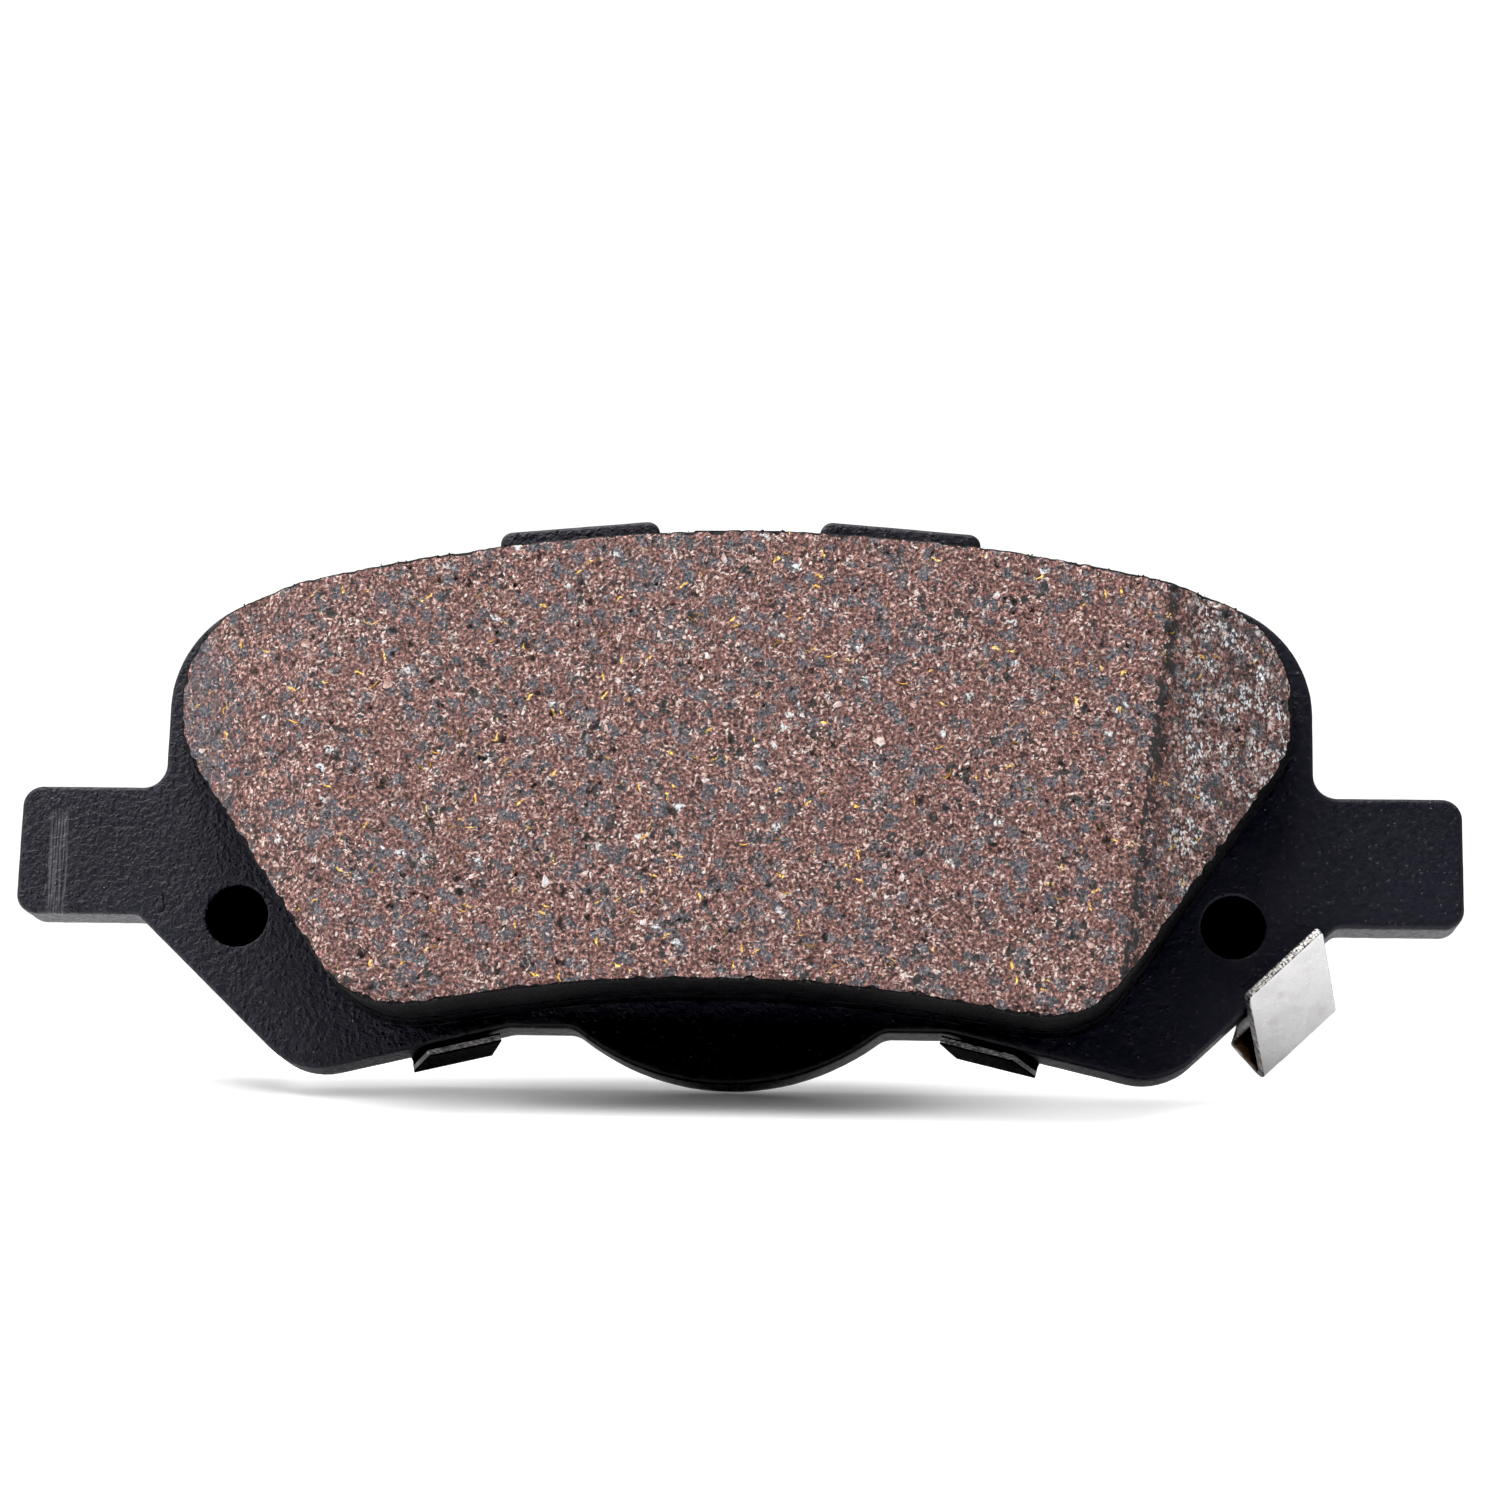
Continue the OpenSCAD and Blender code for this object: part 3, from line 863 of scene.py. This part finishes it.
def build_chips(name, face, outline, count, size, material):
    """Flat chips that lie in the face and stand a little out of it. size is their usual radius."""
    build = Build(name)
    for x, z in random_spots(outline, count, 1.0):
        place, across, along, out = stand_on_face(face, x, z)
        sides = int(rng.integers(5, 9))
        uneven = np.sort(rng.uniform(0, 2 * math.pi, sides))
        angles = uneven * 0.5 + np.arange(sides) * math.pi / sides
        radius = size * rng.lognormal(0, 0.55)
        long_way = rng.uniform(0, math.pi)
        tilt = rng.uniform(-0.12, 0.12, 2)
        rings = []
        for grow, height in ((0.8, FACE_SKIN * 0.7), (1.0, FACE_SKIN * 0.2), (1.0, -0.15)):
            points = []
            for angle in angles:
                reach = radius * grow * (1 + 0.25 * math.sin(3 * angle + long_way))
                u = reach * math.cos(angle) * 1.35
                v = reach * math.sin(angle) * 0.75
                a = u * math.cos(long_way) - v * math.sin(long_way)
                b = u * math.sin(long_way) + v * math.cos(long_way)
                lift = min(height + (tilt[0] * a + tilt[1] * b) * (height > 0), FACE_SKIN * 0.9)
                points.append(place + across * a + along * b + out * lift)
            rings.append(build.add(points))
        build.closed(rings)
    piece = build.finish([material], sharp=25)


def build_crumbs(face, outline, count):
    """Small crumbs of compound left along the block's rim."""
    build = Build("rim_crumbs")
    sides = 7
    rim = spaced(outline, 0.1)
    way = outward(rim)
    for i in rng.integers(0, len(rim), count):
        radius = 0.05 + 0.10 * rng.random() ** 2
        x, z = rim[i] + way[i] * rng.uniform(-0.3, 0.02)
        y = face.plane_y(x, z) + FACE_SKIN + radius + 0.7 * rng.random() ** 3
        stretch = rng.uniform(0.6, 1.3, 3) * radius
        rings = []
        for share, grow in ((-0.85, 0.5), (-0.2, 1.0), (0.45, 0.9), (0.9, 0.4)):
            turns = np.arange(sides) * 2 * math.pi / sides + rng.uniform(-0.3, 0.3, sides)
            reach = grow * rng.uniform(0.75, 1.15, sides)
            rings.append(build.add(np.stack([
                x + stretch[0] * reach * np.cos(turns),
                y + stretch[1] * (share + rng.uniform(-0.1, 0.1, sides)),
                z + stretch[2] * reach * np.sin(turns),
            ], 1)))
        build.closed(rings)
    piece = build.finish([friction_wall()], sharp=30)


def build_curls(name, face, outline, count, material):
    """Curved brass shavings, half sunk in the face."""
    build = Build(name)
    sides, stations = 5, 8
    for x, z in random_spots(outline, count, 1.5):
        place, across, along, out = stand_on_face(face, x, z)
        length = 0.4 + 0.9 * rng.random() ** 2
        bend = rng.uniform(0.3, 2.6)
        heading = rng.uniform(0, 2 * math.pi)
        thick = rng.uniform(0.025, 0.045)
        rings = []
        a = b = 0.0
        for i in range(stations):
            share = i / (stations - 1)
            turn = heading + bend * share
            radius = thick * (0.35 + 0.65 * math.sin(math.pi * share) ** 0.5)
            middle = place + across * a + along * b + out * (FACE_SKIN * 0.25)
            side = across * -math.sin(turn) + along * math.cos(turn)
            rings.append(build.add([
                middle + (side * math.cos(k) * 1.5 + out * math.sin(k) * 0.6) * radius
                for k in (2 * math.pi * n / sides for n in range(sides))
            ]))
            a += math.cos(turn) * length / (stations - 1)
            b += math.sin(turn) * length / (stations - 1)
        build.closed(rings)
    piece = build.finish([material], sharp=60)


# ---------------------------- pressed layers

def build_underlayer(face):
    """The layer under the block: a soft edge with lumps of flash where it meets the plate."""
    low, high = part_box("underlayer")
    front, back = low.y / MM, high.y / MM
    rim = spaced(flat_loops("underlayer", back)[0], 0.4)
    way = outward(rim)
    x, z = rim.T
    build = Build("underlayer_pressed")
    rings = [build.inset(rim, way, 0.5, front)]
    build.fill(rings)
    lump = np.clip(0.05 * face.fine(x, z, 0.7) + 0.06 * face.coarse(x, z, 1.6), -0.05, 0.2)
    profile = ((0.3, 0.0), (0.12, 0.08), (0.05, 0.25), (0.05, 0.5), (0.03, 0.75), (0.0, 0.9), (0.0, 1.0))
    for inset, share in profile:
        rings.append(build.inset(rim, way, inset + lump * share, front + (back - front) * share))
    build.chain(rings)
    build.fill([rings[-1]])
    piece = build.finish([underlayer_coat()])
    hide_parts("underlayer")


# ---------------------------- backing plate

def rounded_edge(build, rim, way, start, sign, radius, turns=4, wave=0.0):
    """Rings round an edge, from radius inside the outline at start to the outline itself."""
    rings = []
    for i in range(turns + 1):
        angle = math.pi / 2 * i / turns
        inset = radius * (1 - math.sin(angle))
        y = start + sign * radius * (1 - math.cos(angle))
        rings.append(build.inset(rim, way, inset + wave * (i > 0), y))
    return rings


def turned(build, x, z, profile, lining=()):
    """Rings about Y at X, Z, from the profile's (radius, Y), closed by a cap. Returns the first.
    The rings of the lining come after them, and take the second material."""
    rings = [build.ring(circle(x, z, radius, ROUND), y) for radius, y in (*profile, *lining)]
    build.chain(rings[:len(profile)])
    build.chain(rings[len(profile) - 1:], 1)
    build.face(rings[-1], int(len(lining) > 0))
    return rings[0]


def in_scuff(points):
    """True for each point (X, Z) in the scuffed stripe."""
    low, high = np.transpose([SCUFF_X, SCUFF_Z])
    return np.all((points > low) & (points < high), axis=1)


def build_backing_plate():
    """The stamped plate with rounded edges, orange peel, blind holes and bosses."""
    low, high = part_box("backing_plate")
    front = low.y / MM
    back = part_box("shim_adhesive")[0].y / MM
    outer, *holes = flat_loops("backing_plate", front)
    covered = flat_loops("bond_film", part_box("bond_film")[1].y / MM)[0]
    peel, wave = smooth_noise(21), smooth_noise(22)
    build = Build("backing_plate_stamped")
    rim = spaced(outer, PLATE_STEP)
    way = outward(rim)
    x, z = rim.T
    shake = 0.012 + 0.012 * wave(x, z, 0.9)

    def field(step, clear, y, keep):
        """Points over the plate's face at Y, where keep is true of them, on lumps or grooves."""
        points = scattered(outer, step, clear)
        points = points[keep(points)]
        points += rng.uniform(-0.1, 0.1, points.shape) * step
        u, v = points.T
        slant_u, slant_v = 0.8 * u + 0.6 * v, 0.8 * v - 0.6 * u
        lumps = 0.012 * peel(slant_u, slant_v, 0.75) + 0.01 * wave(u + 0.3 * v, v - 0.3 * u, 0.6)
        lumps += 0.012 * peel(slant_u, slant_v, 1.9)
        grooves = 0.02 + 0.025 * wave(u, v * 0.04, 0.16)
        height = np.where(in_scuff(points) & (y < back), grooves, lumps)
        return build.add(np.stack([u, y + height, v], 1))

    hole_r = np.ptp(holes[0][:, 0]) / 2
    centres = [loop.mean(0) for loop in holes]

    def clear_of(points, radius):
        return np.all([np.linalg.norm(points - c, axis=1) > radius for c in centres], axis=0)

    under_film = covered - outward(covered) * 1.5
    front_field = field(PLATE_STEP, EDGE_R + 0.25, front,
                        lambda p: ~inside(under_film, p) & clear_of(p, hole_r + 0.6) & ~in_scuff(p))
    scuff_field = field(0.14, EDGE_R + 0.2, front, in_scuff)
    front_edge = rounded_edge(build, rim, way, front, 1, EDGE_R, wave=shake)
    mouth = [(hole_r + 0.3, front), (hole_r + 0.12, front + 0.04), (hole_r + 0.03, front + 0.14),
             (hole_r, front + 0.32)]
    bottom = front + HOLE_DEPTH
    # The bore and its bottom take the second material, the holes' painted shade
    bore = [(hole_r, front + 1.5), (hole_r - 0.02, bottom - 0.4), (hole_r - 0.12, bottom - 0.15),
            (hole_r - 0.4, bottom), (0.8, bottom)]
    mouths = [turned(build, *c, mouth, bore) for c in centres]
    build.fill([front_edge[0], *mouths], np.concatenate([front_field, scuff_field]))

    back_edge = rounded_edge(build, rim, way, back, -1, EDGE_R * 0.7, wave=shake)
    wall = [build.inset(rim, way, 0.012 + 0.014 * wave(x + y, z + 2 * y, 0.8), y)
            for y in np.linspace(front + EDGE_R + 0.4, back - EDGE_R - 0.2, 7)]
    build.chain(front_edge + wall + back_edge[::-1])

    free_top = high.y / MM
    left, right = sorted(centres, key=lambda c: c[0])
    head_front = back + STRIP_T
    head_back = head_front + HEAD_H
    bosses = [
        turned(build, *left, [
            (BOSS_R + 0.25, back), (BOSS_R + 0.08, back + 0.06), (BOSS_R, back + 0.25),
            (BOSS_R, free_top - 0.35), (BOSS_R - 0.1, free_top - 0.12), (BOSS_R - 0.35, free_top),
            (1.0, free_top),
        ]),
        turned(build, *right, [
            (BOSS_R, back), (BOSS_R, head_front), (3.25, head_front), (HEAD_R, head_front + 0.15),
            (HEAD_R - 0.02, head_back - 0.4), (HEAD_R - 0.2, head_back - 0.14),
            (HEAD_R - 0.6, head_back - 0.02), (2.2, head_back), (1.9, head_back - 0.12),
            (0.8, head_back - 0.16),
        ]),
    ]
    under_shim = flat_loops("shim_adhesive", back)[0] * 0.97
    back_field = field(0.6, EDGE_R + 0.3, back,
                       lambda p: ~inside(under_shim, p) & clear_of(p, BOSS_R + 0.7))
    build.fill([back_edge[0], *bosses], back_field)
    piece = build.finish([plate_coating(), hole_painted_shade()])
    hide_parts("backing_plate")


# ---------------------------- wear indicator

class FoldedPath:
    """The strip's middle line from its folds, with the corners turned into arcs."""

    def __init__(self, folds):
        self.nodes = np.array([(-inward, back) for inward, back, _, _ in folds])
        self.shifts = [shift for _, _, shift, _ in folds]
        pieces = []
        for i, (_, _, _, radius) in enumerate(folds):
            here = self.nodes[i]
            if radius == 0:
                pieces.append(here[None])
                continue
            before = self.nodes[i - 1] - here
            after = self.nodes[i + 1] - here
            before, after = before / np.linalg.norm(before), after / np.linalg.norm(after)
            half = math.acos(np.clip(before @ after, -1, 1)) / 2
            bisector = (before + after) / np.linalg.norm(before + after)
            centre = here + bisector * radius / math.sin(half)
            start, end = (here + d * radius / math.tan(half) - centre for d in (before, after))
            sweep = math.atan2(start[0] * end[1] - start[1] * end[0], start @ end)
            pieces.append(np.array([
                centre + [start[0] * math.cos(a) - start[1] * math.sin(a),
                          start[0] * math.sin(a) + start[1] * math.cos(a)]
                for a in np.arange(BEND_TURNS + 1) * sweep / BEND_TURNS
            ]))
        self.line = np.concatenate(pieces)
        lengths = np.linalg.norm(np.diff(self.line, axis=0), axis=1)
        self.run = np.concatenate([[0], np.cumsum(lengths)])
        knots = [self.run[0]]
        for here in self.nodes[1:]:
            knots.append(self.run[np.argmin(np.linalg.norm(self.line - here, axis=1))])
        self.knots = np.array(knots)
        self.length = self.run[-1]

    def place(self, points):
        """From points (across, lift, run) on the flat strip to the model's X, Y, Z."""
        across, lift, run = np.asarray(points, float).T
        inward = np.interp(run, self.run, self.line[:, 0])
        back = np.interp(run, self.run, self.line[:, 1])
        step = 0.02
        near = np.clip(run, step, self.length - step)[:, None] + (-step, step)
        d_in = np.diff(np.interp(near, self.run, self.line[:, 0]))[:, 0]
        d_back = np.diff(np.interp(near, self.run, self.line[:, 1]))[:, 0]
        size = np.hypot(d_in, d_back)
        inward += np.where(run < 0, -run, 0) - lift * -d_back / size
        back += lift * -d_in / size
        along = across + np.interp(run, self.knots, self.shifts)
        cos, sin = math.cos(EDGE_ANGLE), math.sin(EDGE_ANGLE)
        return np.stack([
            BOSS.x + along * cos - inward * sin,
            BOSS.y + back,
            BOSS.z + along * sin + inward * cos,
        ], 1)


def build_wear_indicator():
    """The sprung strip: an eye under the peened head, a fold below the edge, a flap in front."""
    path = FoldedPath(FOLDS)
    half = STRIP_W / 2
    neck = math.sqrt(EYE_R ** 2 - half ** 2)
    turn = math.atan2(neck, half)
    angles = np.linspace(turn, -math.pi - turn, 40)
    eye = np.stack([EYE_R * np.cos(angles), EYE_R * np.sin(angles)], 1)
    corner = 0.35
    end = path.length
    outline = np.concatenate([
        eye[::-1],
        [(half, end - corner), (half - 0.3 * corner, end - 0.3 * corner), (half - corner, end),
         (corner - half, end), (0.3 * corner - half, end - 0.3 * corner), (-half, end - corner)],
    ])
    if area_of(outline) < 0:
        outline = outline[::-1]
    rim = spaced(outline, 0.22)
    way = outward(rim)
    scratch, burr = smooth_noise(31), smooth_noise(32)
    build = Build("wear_indicator_folded")
    hole = circle(0, 0, EYE_HOLE_R, ROUND)
    field = scattered(outline, 0.24, 0.25)
    field = field[np.linalg.norm(field, axis=1) > EYE_HOLE_R + 0.25]
    edges = []
    bores = []
    for side in (1, -1):
        lift = side * STRIP_T / 2
        rings = rounded_edge(build, rim, way, lift, -side, 0.09, turns=2,
                             wave=0.01 + 0.01 * burr(*rim.T, 0.4))
        waves = 0.006 * scratch(*field.T, 1.7)
        extra = build.add(np.stack([field[:, 0], lift + waves, field[:, 1]], 1))
        mouth = [build.ring(hole * (1 + 0.1 / EYE_HOLE_R), lift), build.ring(hole, lift - side * 0.1)]
        build.fill([rings[0], mouth[0]], extra)
        edges.append(rings)
        bores.append(mouth)
    torn = []
    for lift in (0.18, 0.0, -0.16):
        uneven = burr(rim[:, 0] * 3, rim[:, 1] * 3 + lift, 0.5)
        torn.append(build.inset(rim, way, 0.02 + 0.02 * uneven, lift))
    build.chain(edges[0] + torn + edges[1][::-1], 1)
    build.chain(bores[0] + bores[1][::-1], 1)
    _, lift, run = np.concatenate(build.points).T
    # Painted shade: marks the strip's face inside the fold, between its bends, to be coloured dark
    inner = (lift < -0.2) & (run > path.knots[2]) & (run < path.knots[3] + 4)
    piece = build.finish([indicator_steel(), sheared_edge()], place=path.place, sharp=50, inner=inner)
    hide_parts("wear_indicator")


# ---------------------------- shim

def soften(node, width):
    """Rounds the node's sharp edges by the width in millimetres."""
    weld = node.modifiers.new("weld", "WELD")
    weld.merge_threshold = 0.001 * MM
    bevel = node.modifiers.new("bevel", "BEVEL")
    bevel.width = width * MM
    bevel.segments = 2
    bevel.limit_method = "ANGLE"
    bevel.angle_limit = math.radians(50)


# ---------------------------- stage and lights

def add_area_light(name, place, size, power):
    """A rectangular light that faces the origin."""
    data = bpy.data.lights.new(name, "AREA")
    data.shape = "RECTANGLE"
    data.size = size[0] * MM
    data.size_y = size[1] * MM
    data.energy = power
    light = linked(name, data)
    light.location = Vector(place) * MM
    light.rotation_mode = "QUATERNION"
    light.rotation_quaternion = Vector(place).to_track_quat("Z", "Y")


def set_tone():
    """Plain display colours, with the deepest shadows taken down to black and the floor to white."""
    view = bpy.context.scene.view_settings
    view.view_transform = "Standard"
    view.use_curve_mapping = True
    view.curve_mapping.black_level = (0.0045, 0.0045, 0.0045)
    view.curve_mapping.white_level = (0.9, 0.9, 0.9)
    view.curve_mapping.update()


def add_world():
    """White behind everything; around the object a dim room with a bright ceiling."""
    world = bpy.data.worlds.new("studio")
    bpy.context.scene.world = world
    nodes = Nodes(world)
    direction = nodes.node("ShaderNodeTexCoord", {}).outputs["Generated"]
    upward = nodes.node("ShaderNodeSeparateXYZ", {0: direction}).outputs["Z"]
    room = nodes.node("ShaderNodeMapRange", {
        "Value": upward, "From Min": 0.3, "From Max": 0.9, "To Min": 0.03, "To Max": 0.9,
    }).outputs["Result"]
    seen = nodes.node("ShaderNodeLightPath", {}).outputs["Is Camera Ray"]
    glow = nodes.node("ShaderNodeMath", {0: seen, 1: room}, operation="MAXIMUM").outputs[0]
    background = nodes.tree.nodes["Background"]
    nodes.feed(background.inputs["Color"], (1, 1, 1, 1))
    nodes.feed(background.inputs["Strength"], glow)


def add_floor():
    """Falls gently towards the camera under the pad, and is level a little way behind it.
    Its glow, seen by the camera alone, drops under the pad and its left foot as a painted shadow.
    """
    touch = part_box("shim_adhesive")[0].y
    crest = 14 * MM
    reach = 2.5
    fall = math.tan(math.radians(20))
    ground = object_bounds()[0].z - 0.02 * MM
    rows = [(y, ground + fall * (min(y, crest) - touch)) for y in (reach, crest, -reach)]
    mesh = bpy.data.meshes.new("floor")
    points = [(x, y, z) for y, z in rows for x in (-reach, reach)]
    mesh.from_pydata(points, [], [(0, 1, 3, 2), (2, 3, 5, 4)])
    floor = linked("floor", mesh)
    s = Shader("floor")
    s.feed(s.principled.inputs["Emission Color"], (1, 1, 1, 1))

    def near(index, middle, start, end, to_near=1, to_far=0):
        """A mask by the distance from the middle along X or Y."""
        return s.step(s.size(s.plus(s.axis(index), -middle)), start, end, to_near, to_far)

    # Painted contact shadow: where the camera-seen glow is taken down, under the pad and its left foot
    under_pad = s.times(near(0, 0, 6, 30, 1, 0.55), near(0, -14, 22, 56))
    under_foot = near(0, -46, 3, 15, 0.85)
    shaded = s.times(s.most(under_pad, under_foot), near(1, -2.5, 1, 11))
    glow = s.times(s.node("ShaderNodeLightPath", {}).outputs["Is Camera Ray"],
                   s.step(shaded, 0, 1, 0.62, 0.05))
    s.feed(s.principled.inputs["Emission Strength"], glow)
    s.feed(s.principled.inputs["Base Color"], (0.92, 0.92, 0.93, 1))
    s.feed(s.principled.inputs["Roughness"], 0.6)
    floor.data.materials.append(s.material)


# ---------------------------- build

add_camera()
add_world()
add_floor()
add_area_light("overhead", (-120, -150, 420), (460, 340), 3.1)
add_area_light("left_side", (-420, -170, 120), (240, 260), 0.9)
add_area_light("right_side", (420, -120, 60), (200, 200), 0.12)
set_tone()

face_outline = flat_loops("friction_block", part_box("friction_block")[1].y / MM)[0]
face = FrictionFace(face_outline)
build_friction_block(face, face_outline)
build_chips("mineral_chips", face, face_outline, count=650, size=0.09, material=mineral())
brass = plain("brass", (0.62, 0.36, 0.08), 0.35, metallic=1)
build_curls("brass_curls", face, face_outline, count=110, material=brass)
build_crumbs(face, face_outline, count=420)
build_underlayer(face)
build_backing_plate()
build_wear_indicator()

rubber = shim_rubber()
LOOKS = {
    "backing_plate": plate_coating(),
    "friction_block": friction_face(),
    "underlayer": plain("underlayer", (0.02, 0.019, 0.02), 0.7),
    "bond_film": plain("bond", (0.012, 0.011, 0.011), 0.8),
    "shim_adhesive": plain("adhesive", (0.20, 0.17, 0.12), 0.5),
    "shim_inner_rubber": rubber,
    "shim_steel_core": shim_steel(),
    "shim_outer_rubber": rubber,
    "wear_indicator": plain("indicator_steel", (0.75, 0.73, 0.71), 0.3, metallic=1),
}
for name, material in LOOKS.items():
    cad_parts[name].material_slots[0].material = material
for name in ("shim_adhesive", "shim_inner_rubber", "shim_steel_core", "shim_outer_rubber"):
    soften(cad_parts[name], SHIM_ROUND)
